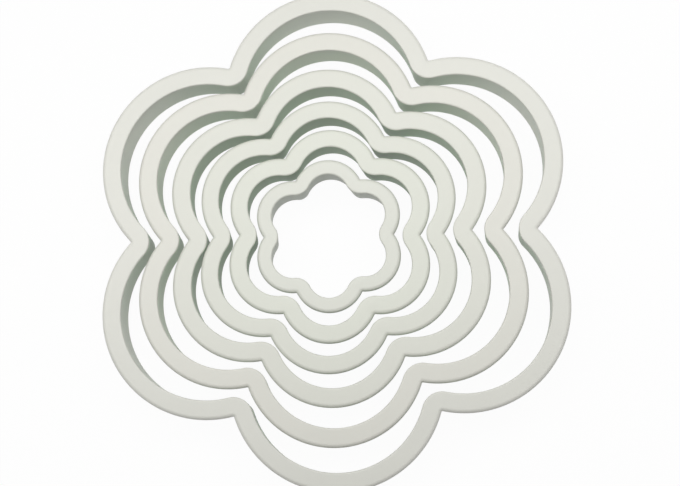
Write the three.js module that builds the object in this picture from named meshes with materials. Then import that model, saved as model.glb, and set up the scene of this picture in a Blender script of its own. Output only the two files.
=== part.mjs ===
import * as THREE from "three";

// Nesting set of flower-shaped cutters for rolled dough and fondant, in millimetres, +Z up.
// The set stands on its cutting edges at z = 0, with the broad rims that the hand presses on top.
// The origin is the centre of the largest cutter, and one of its lobes points along +Y.

// Flower outline, measured round the outside of the rim.
const LOBE_COUNT = 6;
const SMALLEST_REACH = 18.4; // centre of the smallest cutter to the tip of a lobe
const NOTCH_ROUND = 0.25; // radius in the bottom of the notch between two lobes

// Moulded section, the same on every cutter but for the rim's width.
const HEIGHT = 12.5;
const RIM_THICKNESS = 1.4;
const RIM_TOP_ROUND = 1; // outer upper edge, where the hand presses
const RIM_LOWER_ROUND = 0.2; // outer lower edge
const INNER_EDGE_ROUND = 0.4; // inner upper edge
const UNDER_RIM_FILLET = 0.6; // where the wall's outer face meets the rim
const CUTTING_EDGE = 0.5; // width of the flat edge that meets the dough
const INNER_DRAFT = 1.15; // how far the wall's inner face leans outward on its way down
const OUTER_DRAFT = 0.1; // how far its outer face leans inward on its way down

// Rim widths, from the smallest cutter to the largest.
const RIM_WIDTH_1 = 3.6;
const RIM_WIDTH_2 = 4.3;
const RIM_WIDTH_3 = 4.3;
const RIM_WIDTH_4 = 4.6;
const RIM_WIDTH_5 = 4.6;
const RIM_WIDTH_6 = 4.6;

// Clearance at the tips of the lobes, from each cutter's rim out to the rim round it.
const LOBE_GAP_1 = 3;
const LOBE_GAP_2 = 2.8;
const LOBE_GAP_3 = 3.3;
const LOBE_GAP_4 = 4.6;
const LOBE_GAP_5 = 5.5;

// Greatest distance between a round stretch of the outline and its flat facets.
const FACET_SAG = 0.15;

// The cutters from the smallest to the largest. notchShare is how far a notch lies from the centre, as a
// share of the reach: the larger the cutter, the deeper its lobes. The smaller ones are loose and don't lie
// quite in the middle of the one round them: offCentreShares says how far each has slid along X and Y, as
// shares of its gap at the notches, and turnedDegrees how far it has turned.
const cutters = [
  {
    name: "flower_cutter_1",
    rimWidth: RIM_WIDTH_1,
    outerGap: LOBE_GAP_1,
    notchShare: 0.847,
    offCentreShares: [-0.13, -0.05],
    turnedDegrees: 1.3,
  },
  {
    name: "flower_cutter_2",
    rimWidth: RIM_WIDTH_2,
    outerGap: LOBE_GAP_2,
    notchShare: 0.841,
    offCentreShares: [0.19, 0],
    turnedDegrees: -0.8,
  },
  {
    name: "flower_cutter_3",
    rimWidth: RIM_WIDTH_3,
    outerGap: LOBE_GAP_3,
    notchShare: 0.841,
    offCentreShares: [-0.2, -0.04],
    turnedDegrees: -1.2,
  },
  {
    name: "flower_cutter_4",
    rimWidth: RIM_WIDTH_4,
    outerGap: LOBE_GAP_4,
    notchShare: 0.832,
    offCentreShares: [-0.13, 0],
    turnedDegrees: 0.2,
  },
  {
    name: "flower_cutter_5",
    rimWidth: RIM_WIDTH_5,
    outerGap: LOBE_GAP_5,
    notchShare: 0.819,
    offCentreShares: [-0.14, 0.03],
    turnedDegrees: 0,
  },
  {
    name: "flower_cutter_6",
    rimWidth: RIM_WIDTH_6,
    outerGap: 0,
    notchShare: 0.809,
    offCentreShares: [0, 0],
    turnedDegrees: 0,
  },
];

function paleGreenPlastic() {
  return new THREE.MeshStandardMaterial({ color: 0xe3e5dd, roughness: 0.5, metalness: 0 });
}

// An even number of facets, so that one corner lies in the middle of the arc.
function facetCount(radius, angle) {
  const widestFacet = 2 * Math.acos(1 - FACET_SAG / radius);
  return 2 * Math.ceil(angle / widestFacet / 2);
}

// Stations round a flower outline, each with its point on the outline and the outward direction there.
// Round lobes of one radius are joined in the notches by small arcs that touch both. A line drawn at one
// distance inside the outline keeps the same arc centres, so every edge of the section runs through
// these stations.
function flowerStations(reach, notch, rimWidth) {
  const halfSector = Math.PI / LOBE_COUNT;
  const notchCentre = notch + NOTCH_ROUND;
  const notchAlong = notchCentre * Math.cos(halfSector);
  const notchAcross = notchCentre * Math.sin(halfSector);
  const lobeRadius =
    (reach ** 2 + notchCentre ** 2 - 2 * reach * notchAlong - NOTCH_ROUND ** 2) /
    (2 * (reach + NOTCH_ROUND - notchAlong));
  const lobeCentre = reach - lobeRadius;
  const lobeHalf = Math.atan2(notchAcross, notchAlong - lobeCentre);
  const notchHalf = lobeHalf - halfSector;
  const lobeFacets = facetCount(lobeRadius, 2 * lobeHalf);
  const notchFacets = facetCount(NOTCH_ROUND + rimWidth, 2 * notchHalf);

  const stations = [];
  const addArc = (centreDistance, centreAngle, radius, bulge, half, facets) => {
    const centre = new THREE.Vector2(Math.cos(centreAngle), Math.sin(centreAngle));
    centre.multiplyScalar(centreDistance);
    for (let i = 0; i < facets; i++) {
      const angle = centreAngle + bulge * half * ((2 * i) / facets - 1);
      const outward = new THREE.Vector2(Math.cos(angle), Math.sin(angle));
      const point = centre.clone().addScaledVector(outward, bulge * radius);
      stations.push({ point, outward });
    }
  };
  for (let lobe = 0; lobe < LOBE_COUNT; lobe++) {
    const lobeAngle = Math.PI / 2 + 2 * lobe * halfSector;
    addArc(lobeCentre, lobeAngle, lobeRadius, 1, lobeHalf, lobeFacets);
    addArc(notchCentre, lobeAngle + halfSector, NOTCH_ROUND, -1, notchHalf, notchFacets);
  }
  return stations;
}

// The section across one cutter's wall. A point's x is its distance inside the rim's outer edge, and its
// y is its height: a broad flat rim with a thin wall under its inner edge, tapering to the cutting edge.
function mouldedSection(rimWidth) {
  const footInner = rimWidth - INNER_DRAFT;
  const footOuter = footInner - CUTTING_EDGE;
  const rootOuter = footOuter - OUTER_DRAFT;
  const underside = HEIGHT - RIM_THICKNESS;
  const [east, north, west, south] = [0, Math.PI / 2, Math.PI, (3 * Math.PI) / 2];
  const corner = (x, y, radius, from, to, facets) => {
    return new THREE.EllipseCurve(x, y, radius, radius, from, to, to < from).getPoints(facets);
  };
  const innerX = rimWidth - INNER_EDGE_ROUND;
  const filletX = rootOuter - UNDER_RIM_FILLET;
  return [
    new THREE.Vector2(footOuter, 0),
    new THREE.Vector2(footInner, 0),
    ...corner(innerX, HEIGHT - INNER_EDGE_ROUND, INNER_EDGE_ROUND, east, north, 2),
    ...corner(RIM_TOP_ROUND, HEIGHT - RIM_TOP_ROUND, RIM_TOP_ROUND, north, west, 3),
    ...corner(RIM_LOWER_ROUND, underside + RIM_LOWER_ROUND, RIM_LOWER_ROUND, west, south, 1),
    ...corner(filletX, underside - UNDER_RIM_FILLET, UNDER_RIM_FILLET, north, east, 2),
  ];
}

// Carries the section round the stations and joins the last to the first.
function sweptRing(stations, section) {
  const positions = [];
  const faces = [];
  const corners = section.length;
  stations.forEach(({ point, outward }, station) => {
    const here = station * corners;
    const next = ((station + 1) % stations.length) * corners;
    section.forEach(({ x: inset, y: height }, corner) => {
      positions.push(point.x - inset * outward.x, point.y - inset * outward.y, height);
      const after = (corner + 1) % corners;
      faces.push(here + corner, here + after, next + after);
      faces.push(here + corner, next + after, next + corner);
    });
  });
  const geometry = new THREE.BufferGeometry();
  geometry.setAttribute("position", new THREE.Float32BufferAttribute(positions, 3));
  geometry.setIndex(faces);
  geometry.computeVertexNormals();
  return geometry;
}

function flowerCutter({ name, reach, notch, rimWidth }) {
  const stations = flowerStations(reach, notch, rimWidth);
  const mesh = new THREE.Mesh(sweptRing(stations, mouldedSection(rimWidth)), paleGreenPlastic());
  mesh.name = name;
  return mesh;
}

// Each cutter's hollow clears the next smaller one, so the sizes grow outward from the smallest.
function sizedCutters() {
  let hollowReach = SMALLEST_REACH - RIM_WIDTH_1;
  return cutters.map((cutter) => {
    const reach = hollowReach + cutter.rimWidth;
    hollowReach = reach + cutter.outerGap;
    return { ...cutter, reach, notch: reach * cutter.notchShare };
  });
}

// Each cutter stands in the hollow of the next larger one, so its place is set from that one's.
function nestedSet() {
  const set = new THREE.Group();
  let around = set;
  let larger = null;
  for (const cutter of sizedCutters().reverse()) {
    const notchGap = larger ? larger.notch - larger.rimWidth - cutter.notch : 0;
    const place = new THREE.Group();
    place.position.set(cutter.offCentreShares[0] * notchGap, cutter.offCentreShares[1] * notchGap, 0);
    place.rotation.z = THREE.MathUtils.degToRad(cutter.turnedDegrees);
    place.add(flowerCutter(cutter));
    around.add(place);
    around = place;
    larger = cutter;
  }
  return set;
}

export default nestedSet();
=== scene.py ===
"""Nesting set of six flower-shaped cutters for rolled dough and fondant.

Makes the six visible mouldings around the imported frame, gives them their satin pale green plastic,
and sets up a pale studio with the camera nearly straight above the set. Lengths are in metres, +Z up.
"""

import math

import bpy
from mathutils import Matrix, Vector


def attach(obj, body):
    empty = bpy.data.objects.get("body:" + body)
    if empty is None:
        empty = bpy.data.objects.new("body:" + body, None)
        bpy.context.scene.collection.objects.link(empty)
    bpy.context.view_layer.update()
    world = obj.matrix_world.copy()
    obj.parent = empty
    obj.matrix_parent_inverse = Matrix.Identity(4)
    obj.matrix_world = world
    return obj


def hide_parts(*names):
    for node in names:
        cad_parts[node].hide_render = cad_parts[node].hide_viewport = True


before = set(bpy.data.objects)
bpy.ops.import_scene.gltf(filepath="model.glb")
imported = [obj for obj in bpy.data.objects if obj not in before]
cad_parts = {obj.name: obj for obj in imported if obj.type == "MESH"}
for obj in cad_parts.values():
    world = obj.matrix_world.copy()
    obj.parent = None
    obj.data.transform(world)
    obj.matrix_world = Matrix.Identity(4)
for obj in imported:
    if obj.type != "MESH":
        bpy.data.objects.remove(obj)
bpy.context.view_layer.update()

bl_info = {
    "name": "Nesting flower cutters",
    "version": (1, 0, 0),
    "blender": (4, 5, 0),
    "location": "3D View > Sidebar > Flower cutters",
    "description": "Moulds a nesting set of flower-shaped dough cutters and sets up its studio",
    "category": "Object",
}

MM = 0.001
LOBE_COUNT = 6
WHITE = (1.0, 1.0, 1.0, 1.0)

SMALLEST_REACH = 18.4  # centre of the smallest cutter to the tip of a lobe

# The cutters from the smallest to the largest, in millimetres and degrees. Each has the width of its rim,
# the clearance from its lobe tips out to the next rim, how far its notches lie from the centre as a share
# of the reach, how far it has slid in the nest as shares of its gap at the notches, and how far it has
# turned. The sizes were moulded one by one, and their plastic differs a little in tone on the rim. The
# wall's inner face at the tip of a lobe is greener than the rim, and painted shade darkens it by its own
# amount on each cutter. The notches get painted shade where another cutter crowds them from inside.
CUTTERS = (
    {
        "rim": 3.6,
        "lobe_gap": 3.0,
        "notch_share": 0.847,
        "off_centre_shares": (-0.13, -0.05),
        "turned": 1.3,
        "rim_colour": (0.73, 0.74, 0.67),
        "shaded_wall_colour": (0.445, 0.475, 0.41),
        "notch_shade": 0.0,
    },
    {
        "rim": 4.3,
        "lobe_gap": 2.8,
        "notch_share": 0.841,
        "off_centre_shares": (0.19, 0.0),
        "turned": -0.8,
        "rim_colour": (0.735, 0.75, 0.67),
        "shaded_wall_colour": (0.28, 0.45, 0.235),
        "notch_shade": 1.0,
    },
    {
        "rim": 4.3,
        "lobe_gap": 3.3,
        "notch_share": 0.841,
        "off_centre_shares": (-0.2, -0.04),
        "turned": -1.2,
        "rim_colour": (0.735, 0.745, 0.67),
        "shaded_wall_colour": (0.305, 0.465, 0.25),
        "notch_shade": 1.0,
    },
    {
        "rim": 4.6,
        "lobe_gap": 4.6,
        "notch_share": 0.832,
        "off_centre_shares": (-0.13, 0.0),
        "turned": 0.2,
        "rim_colour": (0.74, 0.745, 0.675),
        "shaded_wall_colour": (0.465, 0.615, 0.415),
        "notch_shade": 1.0,
    },
    {
        "rim": 4.6,
        "lobe_gap": 5.5,
        "notch_share": 0.819,
        "off_centre_shares": (-0.14, 0.03),
        "turned": 0.0,
        "rim_colour": (0.75, 0.745, 0.68),
        "shaded_wall_colour": (0.71, 0.79, 0.65),
        "notch_shade": 1.0,
    },
    {
        "rim": 4.6,
        "lobe_gap": 0.0,
        "notch_share": 0.809,
        "off_centre_shares": (0.0, 0.0),
        "turned": 0.0,
        "rim_colour": (0.75, 0.75, 0.69),
        "shaded_wall_colour": (0.77, 0.81, 0.725),
        "notch_shade": 1.0,
    },
)


class CutterSizes(bpy.types.PropertyGroup):
    """One flower cutter's own sizes and place."""

    reach: bpy.props.FloatProperty(
        name="Reach",
        description="From the cutter's centre to the tip of a lobe",
        default=60 * MM,
        min=10 * MM,
        unit="LENGTH",
    )
    notch: bpy.props.FloatProperty(
        name="Notch",
        description="From the cutter's centre to the bottom of a notch between two lobes",
        default=48.5 * MM,
        min=8 * MM,
        unit="LENGTH",
    )
    rim_width: bpy.props.FloatProperty(
        name="Rim width",
        description="Width of the flat rim that the hand presses",
        default=4.6 * MM,
        min=2.5 * MM,
        unit="LENGTH",
    )
    centre: bpy.props.FloatVectorProperty(
        name="Centre",
        description="Where the cutter's centre lies in the nest",
        size=2,
        default=(0.0, 0.0),
        unit="LENGTH",
    )
    turn: bpy.props.FloatProperty(
        name="Turn",
        description="How far the cutter is turned about its centre",
        default=0.0,
        subtype="ANGLE",
        unit="ROTATION",
    )
    rim_colour: bpy.props.FloatVectorProperty(
        name="Rim colour",
        description="Colour of this cutter's plastic on the rim",
        subtype="COLOR",
        size=3,
        min=0.0,
        max=1.0,
        default=(0.76, 0.78, 0.72),
    )
    # The wall's own colour is greener than the rim; its darkness here is painted shade, different on each
    # cutter
    shaded_wall_colour: bpy.props.FloatVectorProperty(
        name="Shaded wall colour",
        description="Colour of the wall's inner face at the tip of a lobe",
        subtype="COLOR",
        size=3,
        min=0.0,
        max=1.0,
        default=(0.76, 0.83, 0.72),
    )
    # Painted shade in the notches, where the next smaller cutter crowds the wall's inner face
    notch_shade: bpy.props.FloatProperty(
        name="Notch shade",
        description="How much the wall's inner face is shaded in the notches",
        subtype="FACTOR",
        default=1.0,
        min=0.0,
        max=1.0,
    )


class MouldingSection(bpy.types.PropertyGroup):
    """The section that every cutter's wall has, and how finely it is followed."""

    height: bpy.props.FloatProperty(
        name="Height",
        description="From the cutting edge to the top of the rim",
        default=12.5 * MM,
        unit="LENGTH",
    )
    rim_thickness: bpy.props.FloatProperty(
        name="Rim thickness",
        description="Thickness of the rim where it stands out from the wall",
        default=1.4 * MM,
        unit="LENGTH",
    )
    rim_top_round: bpy.props.FloatProperty(
        name="Rim top round",
        description="Radius along the rim's outer upper edge",
        default=1.0 * MM,
        unit="LENGTH",
    )
    rim_lower_round: bpy.props.FloatProperty(
        name="Rim lower round",
        description="Radius along the rim's outer lower edge",
        default=0.2 * MM,
        unit="LENGTH",
    )
    inner_edge_round: bpy.props.FloatProperty(
        name="Inner edge round",
        description="Radius along the rim's inner upper edge",
        default=0.4 * MM,
        unit="LENGTH",
    )
    under_rim_fillet: bpy.props.FloatProperty(
        name="Fillet under the rim",
        description="Radius where the wall's outer face meets the rim",
        default=0.6 * MM,
        unit="LENGTH",
    )
    cutting_edge: bpy.props.FloatProperty(
        name="Cutting edge",
        description="Width of the flat edge that meets the dough",
        default=0.5 * MM,
        unit="LENGTH",
    )
    cutting_edge_round: bpy.props.FloatProperty(
        name="Cutting edge round",
        description="Tiny radius on both corners of the cutting edge",
        default=0.06 * MM,
        unit="LENGTH",
    )
    inner_draft: bpy.props.FloatProperty(
        name="Inner draft",
        description="How far the wall's inner face leans outward on its way down",
        default=1.15 * MM,
        unit="LENGTH",
    )
    outer_draft: bpy.props.FloatProperty(
        name="Outer draft",
        description="How far the wall's outer face leans inward on its way down",
        default=0.1 * MM,
        unit="LENGTH",
    )
    notch_round: bpy.props.FloatProperty(
        name="Notch round",
        description="Radius of the rim's outer edge in a notch",
        default=0.25 * MM,
        unit="LENGTH",
    )
    lobe_steps: bpy.props.IntProperty(
        name="Lobe steps",
        description="Number of stations round one lobe",
        default=64,
        min=8,
    )
    notch_steps: bpy.props.IntProperty(
        name="Notch steps",
        description="Number of stations round one notch",
        default=24,
        min=4,
    )
    round_steps: bpy.props.IntProperty(
        name="Round steps",
        description="Number of points on each rounded corner of the section",
        default=7,
        min=2,
    )


class PlasticFinish(bpy.types.PropertyGroup):
    """The satin finish that all the mouldings share."""

    # The painted shade's tint: darker and greener on the wall's inner face in the notches
    notch_shade_tint: bpy.props.FloatVectorProperty(
        name="Notch shade tint",
        description="What the wall's inner face keeps of its colour in the notches",
        subtype="COLOR",
        size=3,
        min=0.0,
        max=1.0,
        default=(0.78, 0.92, 0.79),
    )
    roughness: bpy.props.FloatProperty(
        name="Roughness",
        description="Mean roughness of the moulded surface",
        subtype="FACTOR",
        default=0.46,
        min=0.0,
        max=1.0,
    )
    grain_size: bpy.props.FloatProperty(
        name="Grain size",
        description="Width of one grain of the mould's satin texture",
        default=0.22 * MM,
        min=0.02 * MM,
        unit="LENGTH",
    )
    grain_depth: bpy.props.FloatProperty(
        name="Grain depth",
        description="Height of the satin grain",
        default=0.006 * MM,
        precision=6,
        unit="LENGTH",
    )
    grain_swing: bpy.props.FloatProperty(
        name="Grain tone",
        description="How far the grain's fine light and dark goes either side of the plain colour",
        subtype="FACTOR",
        default=0.015,
        min=0.0,
        max=0.2,
    )
    flow_size: bpy.props.FloatProperty(
        name="Flow mark size",
        description="Width of the faint cloudy marks that the flowing plastic left",
        default=9.0 * MM,
        min=1 * MM,
        unit="LENGTH",
    )
    cloud_swing: bpy.props.FloatProperty(
        name="Cloud tone",
        description="How far the cloudy marks go either side of the plain colour",
        subtype="FACTOR",
        default=0.02,
        min=0.0,
        max=0.2,
    )
    streak_swing: bpy.props.FloatProperty(
        name="Streak tone",
        description="How far the long streaks go either side of the plain colour",
        subtype="FACTOR",
        default=0.012,
        min=0.0,
        max=0.2,
    )
    cloud_gloss: bpy.props.FloatProperty(
        name="Cloud gloss",
        description="How much the roughness varies with the cloudy marks",
        subtype="FACTOR",
        default=0.08,
        min=0.0,
        max=0.5,
    )


class StudioSetup(bpy.types.PropertyGroup):
    """The lamp, the light dome, the floor and the camera."""

    key_watts: bpy.props.FloatProperty(
        name="Key lamp",
        description="Power of the large soft lamp above the far side",
        default=0.325,
        min=0.0,
        unit="POWER",
    )
    key_place: bpy.props.FloatVectorProperty(
        name="Key lamp place",
        description="Where the key lamp hangs",
        size=3,
        default=(-6 * MM, 50 * MM, 170 * MM),
        subtype="TRANSLATION",
        unit="LENGTH",
    )
    key_size: bpy.props.FloatVectorProperty(
        name="Key lamp size",
        description="Width and depth of the key lamp",
        size=2,
        default=(420 * MM, 110 * MM),
        unit="LENGTH",
    )
    dome_strength: bpy.props.FloatProperty(
        name="Dome strength",
        description="Strength of the soft light from straight above",
        subtype="FACTOR",
        default=0.475,
        min=0.0,
    )
    horizon_share: bpy.props.FloatProperty(
        name="Horizon share",
        description="How strong the dome's light still is from the sides",
        subtype="FACTOR",
        default=0.1,
        min=0.0,
        max=1.0,
    )
    white_share: bpy.props.FloatProperty(
        name="White share",
        description="How much of the floor's look is plain white; the rest takes shadows",
        subtype="FACTOR",
        default=0.96,
        min=0.0,
        max=1.0,
    )
    camera_aim: bpy.props.FloatVectorProperty(
        name="Camera aim",
        description="Point on the floor at the middle of the picture",
        size=3,
        default=(1.13 * MM, -0.17 * MM, 0.0),
        subtype="TRANSLATION",
        unit="LENGTH",
    )
    camera_distance: bpy.props.FloatProperty(
        name="Camera distance",
        description="From the aim point to the camera",
        default=282 * MM,
        unit="LENGTH",
    )
    camera_turn: bpy.props.FloatVectorProperty(
        name="Camera turn",
        description="Lean towards the near side, lean to the right, and turn of the picture",
        size=3,
        default=(0.1426, 0.0525, -0.0341),
        subtype="EULER",
        unit="ROTATION",
    )
    camera_lens: bpy.props.FloatProperty(
        name="Lens",
        description="Focal length of the lens in millimetres",
        default=60.22,
        min=1.0,
        unit="CAMERA",
    )


class FlowerCutterSet(bpy.types.PropertyGroup):
    """Everything that a user may change about the set and its studio."""

    cutters: bpy.props.CollectionProperty(type=CutterSizes)
    section: bpy.props.PointerProperty(type=MouldingSection)
    plastic: bpy.props.PointerProperty(type=PlasticFinish)
    studio: bpy.props.PointerProperty(type=StudioSetup)


class Term:
    """A value in a node tree. Sums with it add Math nodes, so a formula reads as it is written."""

    def __init__(self, tree, socket):
        self.tree = tree
        self.socket = socket

    def math(self, operation, *others):
        node = self.tree.nodes.new("ShaderNodeMath")
        node.operation = operation
        for slot, value in zip(node.inputs, (self, *others)):
            plug(self.tree, value, slot)
        return Term(self.tree, node.outputs[0])

    def __add__(self, other):
        return self.math("ADD", other)

    def __sub__(self, other):
        return self.math("SUBTRACT", other)

    def __mul__(self, other):
        return self.math("MULTIPLY", other)

    def __truediv__(self, other):
        return self.math("DIVIDE", other)

    def __mod__(self, other):
        return self.math("MODULO", other)

    def __neg__(self):
        return self.math("MULTIPLY", -1.0)

    def __lt__(self, other):
        return self.math("LESS_THAN", other)


def plug(tree, value, slot):
    """Joins a value to an input: a term or socket by a link, anything else as the input's own value."""
    if isinstance(value, Term):
        value = value.socket
    if isinstance(value, bpy.types.NodeSocket):
        tree.links.new(value, slot)
    else:
        slot.default_value = value


def add_node(tree, kind, inputs=None, **settings):
    """Adds a node, sets its properties and joins its inputs, which are given by name or number."""
    node = tree.nodes.new(kind)
    for name, value in settings.items():
        setattr(node, name, value)
    for name, value in (inputs or {}).items():
        plug(tree, value, node.inputs[name])
    return node


# How the nodes are set out in the node editor.
NODES_IN_ROW = 14
COLUMN_STEP = 200
ROW_STEP = 260


def line_up(tree):
    """Sets the nodes out in rows in the order they were made, so that the tree can be read."""
    for place, node in enumerate(tree.nodes):
        row, column = divmod(place, NODES_IN_ROW)
        node.location = (column * COLUMN_STEP, -row * ROW_STEP)


def new_geometry_tree(name, lengths, counts):
    """A geometry tree with a length or count input for each name, a place, a turn and a material."""
    tree = bpy.data.node_groups.new(name, "GeometryNodeTree")
    tree.is_modifier = True
    for label in lengths:
        socket = tree.interface.new_socket(name=label, in_out="INPUT", socket_type="NodeSocketFloat")
        socket.subtype = "DISTANCE"
    for label in counts:
        tree.interface.new_socket(name=label, in_out="INPUT", socket_type="NodeSocketInt")
    tree.interface.new_socket(name="Centre", in_out="INPUT", socket_type="NodeSocketVector")
    tree.interface.new_socket(name="Turn", in_out="INPUT", socket_type="NodeSocketFloat")
    tree.interface.new_socket(name="Plastic", in_out="INPUT", socket_type="NodeSocketMaterial")
    tree.interface.new_socket(name="Ring", in_out="OUTPUT", socket_type="NodeSocketGeometry")
    return tree


LENGTH_INPUTS = (
    "Reach",
    "Notch",
    "Rim Width",
    "Height",
    "Rim Thickness",
    "Rim Top Round",
    "Rim Lower Round",
    "Inner Edge Round",
    "Under Rim Fillet",
    "Cutting Edge",
    "Cutting Edge Round",
    "Inner Draft",
    "Outer Draft",
    "Notch Round",
)
COUNT_INPUTS = ("Lobe Steps", "Notch Steps", "Round Steps")


# Kept off a count of steps where it is compared, because a remainder can lie a hair off a whole number.
HALF_STEP = 0.5


def outline_curve(tree, given):
    """The outline round the rim: lobes of one radius, joined in the notches by small touching arcs."""
    half_sector = math.pi / LOBE_COUNT
    reach, notch_round = given["Reach"], given["Notch Round"]
    notch_centre = given["Notch"] + notch_round
    along = notch_centre * math.cos(half_sector)
    across = notch_centre * math.sin(half_sector)
    squares = reach * reach + notch_centre * notch_centre - notch_round * notch_round
    lobe_radius = (squares - reach * along * 2.0) / ((reach + notch_round - along) * 2.0)
    lobe_centre = reach - lobe_radius
    lobe_half = across.math("ARCTAN2", along - lobe_centre)
    notch_half = lobe_half - half_sector

    lobe_steps, notch_steps = given["Lobe Steps"], given["Notch Steps"]
    sector_steps = lobe_steps + notch_steps
    circle = add_node(
        tree,
        "GeometryNodeCurvePrimitiveCircle",
        {"Resolution": sector_steps * float(LOBE_COUNT)},
    )
    station = Term(tree, add_node(tree, "GeometryNodeInputIndex").outputs[0])
    sector = (station / sector_steps).math("FLOOR")
    step = station % sector_steps
    on_lobe = step < lobe_steps - HALF_STEP

    def either(for_lobe, for_notch):
        node = add_node(tree, "GeometryNodeSwitch", {"Switch": on_lobe}, input_type="FLOAT")
        plug(tree, for_lobe, node.inputs["True"])
        plug(tree, for_notch, node.inputs["False"])
        return Term(tree, node.outputs[0])

    share = either(step / lobe_steps, (step - lobe_steps) / notch_steps)
    bulge = either(1.0, -1.0)
    half = either(lobe_half, notch_half)
    arc_centre = either(lobe_centre, notch_centre)
    arc_radius = either(lobe_radius, notch_round)
    axis = sector * (2 * half_sector) + either(math.pi / 2, math.pi / 2 + half_sector)
    angle = axis + bulge * half * (share * 2.0 - 1.0)
    x = arc_centre * axis.math("COSINE") + bulge * arc_radius * angle.math("COSINE")
    y = arc_centre * axis.math("SINE") + bulge * arc_radius * angle.math("SINE")
    place = add_node(tree, "ShaderNodeCombineXYZ", {"X": x, "Y": y})
    placed = add_node(
        tree,
        "GeometryNodeSetPosition",
        {"Geometry": circle.outputs["Curve"], "Position": place.outputs[0]},
    )
    upright = add_node(
        tree, "GeometryNodeSetCurveNormal", {"Curve": placed.outputs[0]}, mode="Z_UP"
    )
    # Nothing at a lobe's tip and 1 in a notch, which the plastic reads to place the painted shade in the
    # notches
    from_centre = (x * x + y * y).math("SQRT")
    notch_share = (reach - from_centre) / (reach - given["Notch"])
    stored = add_node(
        tree,
        "GeometryNodeStoreNamedAttribute",
        {"Geometry": upright.outputs[0], "Name": "notch_share", "Value": notch_share},
        data_type="FLOAT",
        domain="POINT",
    )
    return stored.outputs[0]


# How far inside the wall its inner face's greener colour and painted shade reach before they have faded
# out.
INNER_FACE_DEPTH = 0.4 * MM


def section_curve(tree, given):
    """The section across the wall: the rim, the wall under its inner edge, and the cutting edge.

    A corner's distance inside the rim's outer edge runs against the outline's outward normal, and its
    height against the sweep's own second axis, so both are put in with their signs turned.
    """
    rim_width, height = given["Rim Width"], given["Height"]
    foot_inner = rim_width - given["Inner Draft"]
    foot_outer = foot_inner - given["Cutting Edge"]
    root_outer = foot_outer - given["Outer Draft"]
    underside = height - given["Rim Thickness"]
    corners = (
        (foot_outer, 0.0, given["Cutting Edge Round"]),
        (foot_inner, 0.0, given["Cutting Edge Round"]),
        (rim_width, height, given["Inner Edge Round"]),
        (0.0, height, given["Rim Top Round"]),
        (0.0, underside, given["Rim Lower Round"]),
        (root_outer, underside, given["Under Rim Fillet"]),
    )
    circle = add_node(tree, "GeometryNodeCurvePrimitiveCircle", {"Resolution": len(corners)})
    index = add_node(tree, "GeometryNodeInputIndex").outputs[0]

    def by_corner(values):
        node = add_node(tree, "GeometryNodeIndexSwitch", data_type="FLOAT")
        while len(node.index_switch_items) < len(values):
            node.index_switch_items.new()
        plug(tree, index, node.inputs["Index"])
        for slot, value in zip(list(node.inputs)[1:], values):
            plug(tree, value, slot)
        return Term(tree, node.outputs[0])

    inset = by_corner([corner[0] for corner in corners])
    level = by_corner([corner[1] for corner in corners])
    radius = by_corner([corner[2] for corner in corners])
    place = add_node(tree, "ShaderNodeCombineXYZ", {"X": -inset, "Y": -level})
    placed = add_node(
        tree,
        "GeometryNodeSetPosition",
        {"Geometry": circle.outputs["Curve"], "Position": place.outputs[0]},
    )
    rounded = add_node(
        tree,
        "GeometryNodeFilletCurve",
        {"Curve": placed.outputs[0], "Count": given["Round Steps"], "Radius": radius},
        mode="POLY",
    )
    # Shares across the rim, down the wall, and of the wall's inner face, which the plastic reads
    #     # for the wall's colour and painted shade
    where = add_node(tree, "GeometryNodeInputPosition")
    parts = add_node(tree, "ShaderNodeSeparateXYZ", {0: where.outputs[0]})
    rim_share = -(Term(tree, parts.outputs["X"]) / rim_width)
    height_share = -(Term(tree, parts.outputs["Y"]) / height)
    inner_face = rim_width - given["Inner Draft"] * (-height_share + 1.0)
    inner_share = -(inner_face - rim_share * rim_width) / INNER_FACE_DEPTH + 1.0
    shares = add_node(
        tree,
        "ShaderNodeCombineXYZ",
        {"X": rim_share, "Y": height_share, "Z": inner_share.math("MAXIMUM", 0.0)},
    )
    stored = add_node(
        tree,
        "GeometryNodeStoreNamedAttribute",
        {"Geometry": rounded.outputs[0], "Name": "section_share", "Value": shares.outputs[0]},
        data_type="FLOAT_VECTOR",
        domain="POINT",
    )
    return stored.outputs[0]


def flower_ring_tree():
    """The tree that moulds one cutter from its sizes."""
    tree = new_geometry_tree("Flower ring", LENGTH_INPUTS, COUNT_INPUTS)
    entry = tree.nodes.new("NodeGroupInput")
    given = {socket.name: Term(tree, socket) for socket in entry.outputs if socket.name}
    swept = add_node(
        tree,
        "GeometryNodeCurveToMesh",
        {"Curve": outline_curve(tree, given), "Profile Curve": section_curve(tree, given)},
    )
    smooth = add_node(tree, "GeometryNodeSetShadeSmooth", {"Geometry": swept.outputs[0]})
    turned = add_node(tree, "ShaderNodeCombineXYZ", {"Z": given["Turn"]})
    placed = add_node(
        tree,
        "GeometryNodeTransform",
        {
            "Geometry": smooth.outputs[0],
            "Translation": given["Centre"],
            "Rotation": turned.outputs[0],
        },
    )
    real = add_node(tree, "GeometryNodeRealizeInstances", {"Geometry": placed.outputs[0]})
    painted = add_node(
        tree,
        "GeometryNodeSetMaterial",
        {"Geometry": real.outputs[0], "Material": given["Plastic"]},
    )
    leave = tree.nodes.new("NodeGroupOutput")
    tree.links.new(painted.outputs[0], leave.inputs["Ring"])
    line_up(tree)
    return tree


def set_inputs(modifier, values):
    """Sets a modifier's inputs by the identifiers of the sockets with these names."""
    for socket in modifier.node_group.interface.items_tree:
        if socket.item_type == "SOCKET" and socket.in_out == "INPUT" and socket.name in values:
            modifier[socket.identifier] = values[socket.name]


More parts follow.
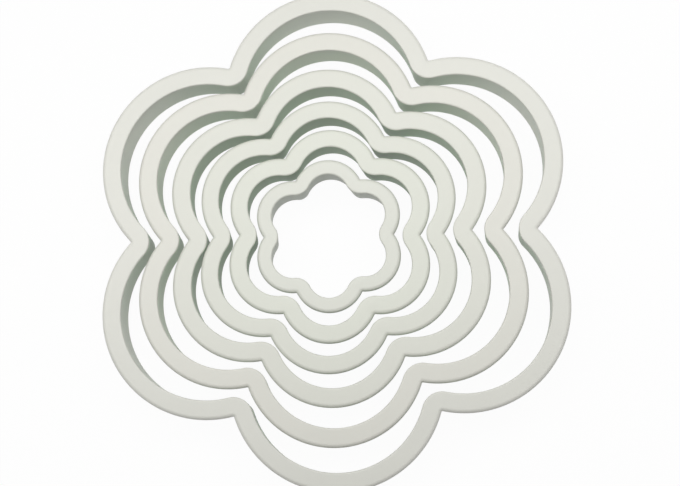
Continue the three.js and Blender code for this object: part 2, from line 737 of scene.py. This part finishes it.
def plain_mesh(name, tree, values):
    """Runs the tree once and returns what it makes as a plain mesh with weighted normals."""
    worker = bpy.data.objects.new(name, bpy.data.meshes.new(name))
    bpy.context.scene.collection.objects.link(worker)
    modifier = worker.modifiers.new("Flower ring", "NODES")
    modifier.node_group = tree
    set_inputs(modifier, values)
    normals = worker.modifiers.new("Weighted normals", "WEIGHTED_NORMAL")
    normals.keep_sharp = True
    depsgraph = bpy.context.evaluated_depsgraph_get()
    mesh = bpy.data.meshes.new_from_object(
        worker.evaluated_get(depsgraph), preserve_all_data_layers=True, depsgraph=depsgraph
    )
    bpy.data.objects.remove(worker)
    return mesh


def new_shader_group(name, inputs, outputs):
    """An empty shader group with these (name, kind) sockets, and its two end nodes."""
    group = bpy.data.node_groups.new(name, "ShaderNodeTree")
    for direction, sockets in (("INPUT", inputs), ("OUTPUT", outputs)):
        for label, kind in sockets:
            group.interface.new_socket(name=label, in_out=direction, socket_type="NodeSocket" + kind)
    return group, group.nodes.new("NodeGroupInput"), group.nodes.new("NodeGroupOutput")


# The satin texture is fine grains with some wider pits: the part of its height that each makes up, and the
# pits' scale as a share of the grains'.
GRAIN_PART = 0.7
PIT_PART = 0.3
PIT_SCALE_SHARE = 0.6


def satin_grain_group():
    """The mould's satin texture: its height, and a fine light and dark that goes with it."""
    group, entry, leave = new_shader_group(
        "Satin grain",
        (("Place", "Vector"), ("Grain Size", "Float"), ("Grain Depth", "Float")),
        (("Height", "Float"), ("Speckle", "Float")),
    )
    scale = Term(group, entry.outputs["Grain Size"]).math("POWER", -1.0)
    grains = add_node(
        group,
        "ShaderNodeTexNoise",
        {"Vector": entry.outputs["Place"], "Scale": scale, "Detail": 3.0, "Roughness": 0.55},
        noise_dimensions="3D",
    )
    pits = add_node(
        group,
        "ShaderNodeTexVoronoi",
        {"Vector": entry.outputs["Place"], "Scale": scale * PIT_SCALE_SHARE},
        feature="SMOOTH_F1",
    )
    grain_height = Term(group, grains.outputs["Fac"]) * GRAIN_PART
    pit_height = Term(group, pits.outputs["Distance"]) * PIT_PART
    height = (grain_height + pit_height) * entry.outputs["Grain Depth"]
    plug(group, height, leave.inputs["Height"])
    plug(group, grains.outputs["Fac"], leave.inputs["Speckle"])
    line_up(group)
    return group


# The streaks are this many times finer than the clouds, and drawn out up and down the wall.
STREAK_FINENESS = 6.0
STREAK_STRETCH = (1.0, 1.0, 0.15)


def flow_marks_group():
    """Faint cloudy marks and long streaks where the plastic flowed round the mould."""
    group, entry, leave = new_shader_group(
        "Flow marks",
        (("Place", "Vector"), ("Size", "Float")),
        (("Cloud", "Float"), ("Streak", "Float")),
    )
    scale = Term(group, entry.outputs["Size"]).math("POWER", -1.0)
    cloud = add_node(
        group,
        "ShaderNodeTexNoise",
        {"Vector": entry.outputs["Place"], "Scale": scale, "Detail": 2.0, "Distortion": 0.6},
    )
    stretched = add_node(
        group, "ShaderNodeMapping", {"Vector": entry.outputs["Place"], "Scale": STREAK_STRETCH}
    )
    streak = add_node(
        group,
        "ShaderNodeTexNoise",
        {"Vector": stretched.outputs[0], "Scale": scale * STREAK_FINENESS, "Detail": 3.0},
    )
    plug(group, cloud.outputs["Fac"], leave.inputs["Cloud"])
    plug(group, streak.outputs["Fac"], leave.inputs["Streak"])
    line_up(group)
    return group


# Where the wall's greener colour and painted shade start under the rim and where they are full, as shares
# of the height, and how far towards a notch its painted shade is full.
WALL_START_SHARE = 0.985
WALL_FULL_SHARE = 0.93
NOTCH_FULL_SHARE = 0.8


def wall_shade_group():
    """Where the wall's greener colour and painted shade go: nothing on the rim and 1 on the wall's inner
    face, with a short soft change between; and, with it, nothing at the tip of a lobe and the painted
    notch shade in a notch."""
    group, entry, leave = new_shader_group(
        "Wall shade",
        (("Section Share", "Vector"), ("Notch Share", "Float"), ("Notch Shade", "Float")),
        (("Inner Wall", "Float"), ("Notch", "Float")),
    )
    shares = add_node(group, "ShaderNodeSeparateXYZ", {0: entry.outputs["Section Share"]})
    depth = add_node(
        group,
        "ShaderNodeMapRange",
        {
            "Value": shares.outputs["Y"],
            "From Min": WALL_START_SHARE,
            "From Max": WALL_FULL_SHARE,
            "To Min": 0.0,
            "To Max": 1.0,
        },
        interpolation_type="SMOOTHERSTEP",
        clamp=True,
    )
    inner = Term(group, depth.outputs["Result"]) * shares.outputs["Z"]
    notch = add_node(
        group,
        "ShaderNodeMapRange",
        {
            "Value": entry.outputs["Notch Share"],
            "From Min": 0.0,
            "From Max": NOTCH_FULL_SHARE,
            "To Min": 0.0,
            "To Max": entry.outputs["Notch Shade"],
        },
        interpolation_type="LINEAR",
        clamp=True,
    )
    plug(group, inner, leave.inputs["Inner Wall"])
    plug(group, notch.outputs["Result"], leave.inputs["Notch"])
    line_up(group)
    return group


# A mix node's sockets for the factor, the two colours and the mixed colour. They go by number, because the
# sockets for other kinds of value have the same names.
MIX_INPUTS = (0, 6, 7)
MIX_OUTPUT = 2


def mixed_colour(tree, factor, first, second):
    """The first colour, going over to the second as the factor goes from 0 to 1."""
    mix = add_node(tree, "ShaderNodeMix", data_type="RGBA")
    for slot, value in zip(MIX_INPUTS, (factor, first, second)):
        plug(tree, value, mix.inputs[slot])
    return mix.outputs[MIX_OUTPUT]


def tinted(tree, colour, factor, amount):
    """Multiplies a colour by a value that swings by the amount either side of 1."""
    swing = Term(tree, factor) * (2 * amount) + (1 - amount)
    node = add_node(tree, "ShaderNodeVectorMath", {0: colour, 1: swing}, operation="MULTIPLY")
    return node.outputs[0]


def satin_plastic(name, cutter, finish, groups):
    """One cutter's satin plastic: pale outside, greener and with painted shade on the wall's inner face,
    with grain and marks.
    """
    rim_colour, shaded_wall_colour = tuple(cutter.rim_colour), tuple(cutter.shaded_wall_colour)
    material = bpy.data.materials.new(name)
    material.use_nodes = True
    material.diffuse_color = (*rim_colour, 1.0)
    tree = material.node_tree
    shader = next(node for node in tree.nodes if node.type == "BSDF_PRINCIPLED")
    place = add_node(tree, "ShaderNodeTexCoord").outputs["Object"]
    section = add_node(tree, "ShaderNodeAttribute", attribute_name="section_share")
    along = add_node(tree, "ShaderNodeAttribute", attribute_name="notch_share")

    grain = add_node(tree, "ShaderNodeGroup", node_tree=groups["grain"])
    plug(tree, place, grain.inputs["Place"])
    plug(tree, finish.grain_size, grain.inputs["Grain Size"])
    plug(tree, finish.grain_depth, grain.inputs["Grain Depth"])
    flow = add_node(tree, "ShaderNodeGroup", node_tree=groups["flow"])
    plug(tree, place, flow.inputs["Place"])
    plug(tree, finish.flow_size, flow.inputs["Size"])
    shade = add_node(tree, "ShaderNodeGroup", node_tree=groups["shade"])
    plug(tree, section.outputs["Vector"], shade.inputs["Section Share"])
    plug(tree, along.outputs["Fac"], shade.inputs["Notch Share"])
    plug(tree, cutter.notch_shade, shade.inputs["Notch Shade"])

    # Painted shade: the wall's inner face is darker and greener in the notches, and its own colour is
    # darkened too
    notch_shaded_colour = [wall * tint for wall, tint in zip(shaded_wall_colour, finish.notch_shade_tint)]
    inner = mixed_colour(tree, shade.outputs["Notch"], (*shaded_wall_colour, 1.0), (*notch_shaded_colour, 1.0))
    plain = mixed_colour(tree, shade.outputs["Inner Wall"], (*rim_colour, 1.0), inner)
    clouded = tinted(tree, plain, flow.outputs["Cloud"], finish.cloud_swing)
    streaked = tinted(tree, clouded, flow.outputs["Streak"], finish.streak_swing)
    speckled = tinted(tree, streaked, grain.outputs["Speckle"], finish.grain_swing)
    plug(tree, speckled, shader.inputs["Base Color"])

    smoothest = finish.roughness - finish.cloud_gloss / 2
    roughness = Term(tree, flow.outputs["Cloud"]) * finish.cloud_gloss + smoothest
    plug(tree, roughness, shader.inputs["Roughness"])
    bump = add_node(
        tree, "ShaderNodeBump", {"Height": grain.outputs["Height"], "Strength": 1.0, "Distance": 1.0}
    )
    plug(tree, bump.outputs[0], shader.inputs["Normal"])
    line_up(tree)
    return material


class FLOWER_OT_mould_cutters(bpy.types.Operator):
    """Moulds the six flower cutters, each in the place of its solid in the frame"""

    bl_idname = "flower_cutters.mould"
    bl_label = "Mould the cutters"
    bl_options = {"REGISTER", "UNDO"}

    def execute(self, context):
        setup = context.scene.flower_cutter_set
        section = setup.section
        tree = flower_ring_tree()
        groups = {
            "grain": satin_grain_group(),
            "flow": flow_marks_group(),
            "shade": wall_shade_group(),
        }
        shared = {
            "Height": section.height,
            "Rim Thickness": section.rim_thickness,
            "Rim Top Round": section.rim_top_round,
            "Rim Lower Round": section.rim_lower_round,
            "Inner Edge Round": section.inner_edge_round,
            "Under Rim Fillet": section.under_rim_fillet,
            "Cutting Edge": section.cutting_edge,
            "Cutting Edge Round": section.cutting_edge_round,
            "Inner Draft": section.inner_draft,
            "Outer Draft": section.outer_draft,
            "Notch Round": section.notch_round,
            "Lobe Steps": section.lobe_steps,
            "Notch Steps": section.notch_steps,
            "Round Steps": section.round_steps,
        }
        for number, cutter in enumerate(setup.cutters, start=1):
            name = f"moulded_cutter_{number}"
            plastic = satin_plastic(f"satin_plastic_{number}", cutter, setup.plastic, groups)
            mesh = plain_mesh(
                name,
                tree,
                {
                    **shared,
                    "Reach": cutter.reach,
                    "Notch": cutter.notch,
                    "Rim Width": cutter.rim_width,
                    "Centre": (*cutter.centre, 0.0),
                    "Turn": cutter.turn,
                    "Plastic": plastic,
                },
            )
            if not mesh.polygons:
                raise RuntimeError(f"the tree made nothing for {name}")
            piece = bpy.data.objects.new(name, mesh)
            context.scene.collection.objects.link(piece)
            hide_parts(f"flower_cutter_{number}")
            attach(piece, f"cutter_{number}")
        return {"FINISHED"}


def background_rays(tree):
    """1 for rays that show the background: from the camera, from gloss and through clear things."""
    rays = add_node(tree, "ShaderNodeLightPath").outputs
    seen = Term(tree, rays["Is Camera Ray"]).math("MAXIMUM", rays["Is Glossy Ray"])
    return seen.math("MAXIMUM", rays["Is Transmission Ray"])


FLOOR_HALF_SIDE = 3.0  # metres
FLOOR_COLOUR = (0.9, 0.9, 0.9, 1.0)


def floor_paint(white_share):
    """A pale floor that looks white but keeps the shadow of what stands on it."""
    material = bpy.data.materials.new("pale_floor")
    material.use_nodes = True
    tree = material.node_tree
    tree.nodes.clear()
    matt = add_node(tree, "ShaderNodeBsdfDiffuse", {"Color": FLOOR_COLOUR})
    white = add_node(tree, "ShaderNodeEmission", {"Color": WHITE, "Strength": 1.0})
    share = background_rays(tree) * white_share
    mixed = add_node(
        tree, "ShaderNodeMixShader", {0: share, 1: matt.outputs[0], 2: white.outputs[0]}
    )
    end = add_node(tree, "ShaderNodeOutputMaterial")
    tree.links.new(mixed.outputs[0], end.inputs["Surface"])
    line_up(tree)
    return material


def add_floor(white_share):
    """A wide flat floor at the height of the cutting edges."""
    far, near = FLOOR_HALF_SIDE, -FLOOR_HALF_SIDE
    corners = [(near, near, 0.0), (far, near, 0.0), (far, far, 0.0), (near, far, 0.0)]
    mesh = bpy.data.meshes.new("floor")
    mesh.from_pydata(corners, [], [(0, 1, 2, 3)])
    mesh.materials.append(floor_paint(white_share))
    floor = bpy.data.objects.new("floor", mesh)
    bpy.context.scene.collection.objects.link(floor)


def add_soft_lamp(name, place, size, watts):
    """A wide area lamp at a place, facing the origin, that the camera itself doesn't see."""
    lamp = bpy.data.lights.new(name, "AREA")
    lamp.shape = "RECTANGLE"
    lamp.size, lamp.size_y = size
    lamp.energy = watts
    holder = bpy.data.objects.new(name, lamp)
    holder.visible_camera = False
    bpy.context.scene.collection.objects.link(holder)
    facing = (-Vector(place)).to_track_quat("-Z", "Y")
    holder.matrix_world = Matrix.LocRotScale(Vector(place), facing, None)


# Below the first of these heights the dome is at its dimmest, and above the second it is full. The horizon
# is at 0 and straight above at 1.
DOME_DIM_HEIGHT = 0.1
DOME_FULL_HEIGHT = 0.9


def light_dome(strength, horizon_share):
    """Soft light from above that fades towards the sides, and white where the camera and gloss look."""
    world = bpy.data.worlds.new("studio_dome")
    bpy.context.scene.world = world
    world.use_nodes = True
    tree = world.node_tree
    tree.nodes.clear()
    direction = add_node(tree, "ShaderNodeTexCoord").outputs["Generated"]
    parts = add_node(tree, "ShaderNodeSeparateXYZ", {0: direction})
    height = add_node(
        tree,
        "ShaderNodeMapRange",
        {
            "Value": parts.outputs["Z"],
            "From Min": DOME_DIM_HEIGHT,
            "From Max": DOME_FULL_HEIGHT,
            "To Min": strength * horizon_share,
            "To Max": strength,
        },
        interpolation_type="SMOOTHSTEP",
        clamp=True,
    )
    dome = add_node(
        tree,
        "ShaderNodeBackground",
        {"Color": WHITE, "Strength": height.outputs["Result"]},
    )
    white = add_node(tree, "ShaderNodeBackground", {"Color": WHITE, "Strength": 1.0})
    mixed = add_node(
        tree,
        "ShaderNodeMixShader",
        {0: background_rays(tree), 1: dome.outputs[0], 2: white.outputs[0]},
    )
    end = add_node(tree, "ShaderNodeOutputWorld")
    tree.links.new(mixed.outputs[0], end.inputs["Surface"])
    line_up(tree)


SENSOR_WIDTH = 36.0  # millimetres, as the lens
NEAREST_SEEN = 10 * MM


def add_camera(studio):
    """The camera, nearly straight above the set and a little towards the near side."""
    data = bpy.data.cameras.new("camera")
    data.lens = studio.camera_lens
    data.sensor_width = SENSOR_WIDTH
    data.clip_start = NEAREST_SEEN
    camera = bpy.data.objects.new("camera", data)
    bpy.context.scene.collection.objects.link(camera)
    lean_near, lean_right, turn = studio.camera_turn
    camera.matrix_world = (
        Matrix.Translation(studio.camera_aim)
        @ Matrix.Rotation(turn, 4, "Z")
        @ Matrix.Rotation(lean_near, 4, "X")
        @ Matrix.Rotation(lean_right, 4, "Y")
        @ Matrix.Translation((0.0, 0.0, studio.camera_distance))
    )
    bpy.context.scene.camera = camera


class FLOWER_OT_set_stage(bpy.types.Operator):
    """Sets out the floor, the lamp, the light dome and the camera"""

    bl_idname = "flower_cutters.stage"
    bl_label = "Set the stage"
    bl_options = {"REGISTER", "UNDO"}

    def execute(self, context):
        studio = context.scene.flower_cutter_set.studio
        add_floor(studio.white_share)
        add_soft_lamp("key_lamp", studio.key_place, studio.key_size, studio.key_watts)
        light_dome(studio.dome_strength, studio.horizon_share)
        add_camera(studio)
        context.scene.view_settings.view_transform = "Standard"
        return {"FINISHED"}


class FLOWER_PT_sidebar(bpy.types.Panel):
    """Sizes, plastic and studio of the flower cutters"""

    bl_idname = "FLOWER_PT_sidebar"
    bl_label = "Flower cutters"
    bl_space_type = "VIEW_3D"
    bl_region_type = "UI"
    bl_category = "Flower cutters"

    def draw(self, context):
        setup = context.scene.flower_cutter_set
        for number, cutter in enumerate(setup.cutters, start=1):
            self.draw_group(f"Cutter {number}", cutter)
        self.draw_group("Section", setup.section)
        self.draw_group("Plastic", setup.plastic)
        self.layout.operator(FLOWER_OT_mould_cutters.bl_idname)
        self.draw_group("Studio", setup.studio)
        self.layout.operator(FLOWER_OT_set_stage.bl_idname)

    def draw_group(self, title, group):
        """Lists a group's properties in a box of their own."""
        box = self.layout.box()
        box.label(text=title)
        for name in group.__annotations__:
            box.prop(group, name)


CLASSES = (
    CutterSizes,
    MouldingSection,
    PlasticFinish,
    StudioSetup,
    FlowerCutterSet,
    FLOWER_OT_mould_cutters,
    FLOWER_OT_set_stage,
    FLOWER_PT_sidebar,
)


def register():
    for cls in CLASSES:
        bpy.utils.register_class(cls)
    bpy.types.Scene.flower_cutter_set = bpy.props.PointerProperty(type=FlowerCutterSet)


def unregister():
    del bpy.types.Scene.flower_cutter_set
    for cls in reversed(CLASSES):
        bpy.utils.unregister_class(cls)


def nested_sizes():
    """The cutters with their reach, notch, centre and turn worked out.

    Each hollow clears the next smaller cutter, so the sizes grow outward from the smallest. Each cutter
    stands in the hollow of the next larger one, so the places follow inward from the largest.
    """
    sizes = []
    hollow_reach = SMALLEST_REACH - CUTTERS[0]["rim"]
    for cutter in CUTTERS:
        reach = hollow_reach + cutter["rim"]
        hollow_reach = reach + cutter["lobe_gap"]
        sizes.append({**cutter, "reach": reach, "notch": reach * cutter["notch_share"]})
    centre, turn, hollow_notch = Vector((0.0, 0.0)), 0.0, sizes[-1]["notch"]
    for size in reversed(sizes):
        slide = Vector(size["off_centre_shares"]) * (hollow_notch - size["notch"])
        centre = centre + Matrix.Rotation(turn, 2) @ slide
        turn += math.radians(size["turned"])
        hollow_notch = size["notch"] - size["rim"]
        size.update(centre=centre, turn=turn)
    return sizes


def list_cutters(setup):
    """Enters the six cutters of this set in the scene's properties."""
    setup.cutters.clear()
    for size in nested_sizes():
        cutter = setup.cutters.add()
        cutter.reach = size["reach"] * MM
        cutter.notch = size["notch"] * MM
        cutter.rim_width = size["rim"] * MM
        cutter.centre = size["centre"] * MM
        cutter.turn = size["turn"]
        for finish in ("rim_colour", "shaded_wall_colour", "notch_shade"):
            setattr(cutter, finish, size[finish])


def main():
    register()
    list_cutters(bpy.context.scene.flower_cutter_set)
    bpy.ops.flower_cutters.mould()
    bpy.ops.flower_cutters.stage()


if __name__ == "__main__":
    main()
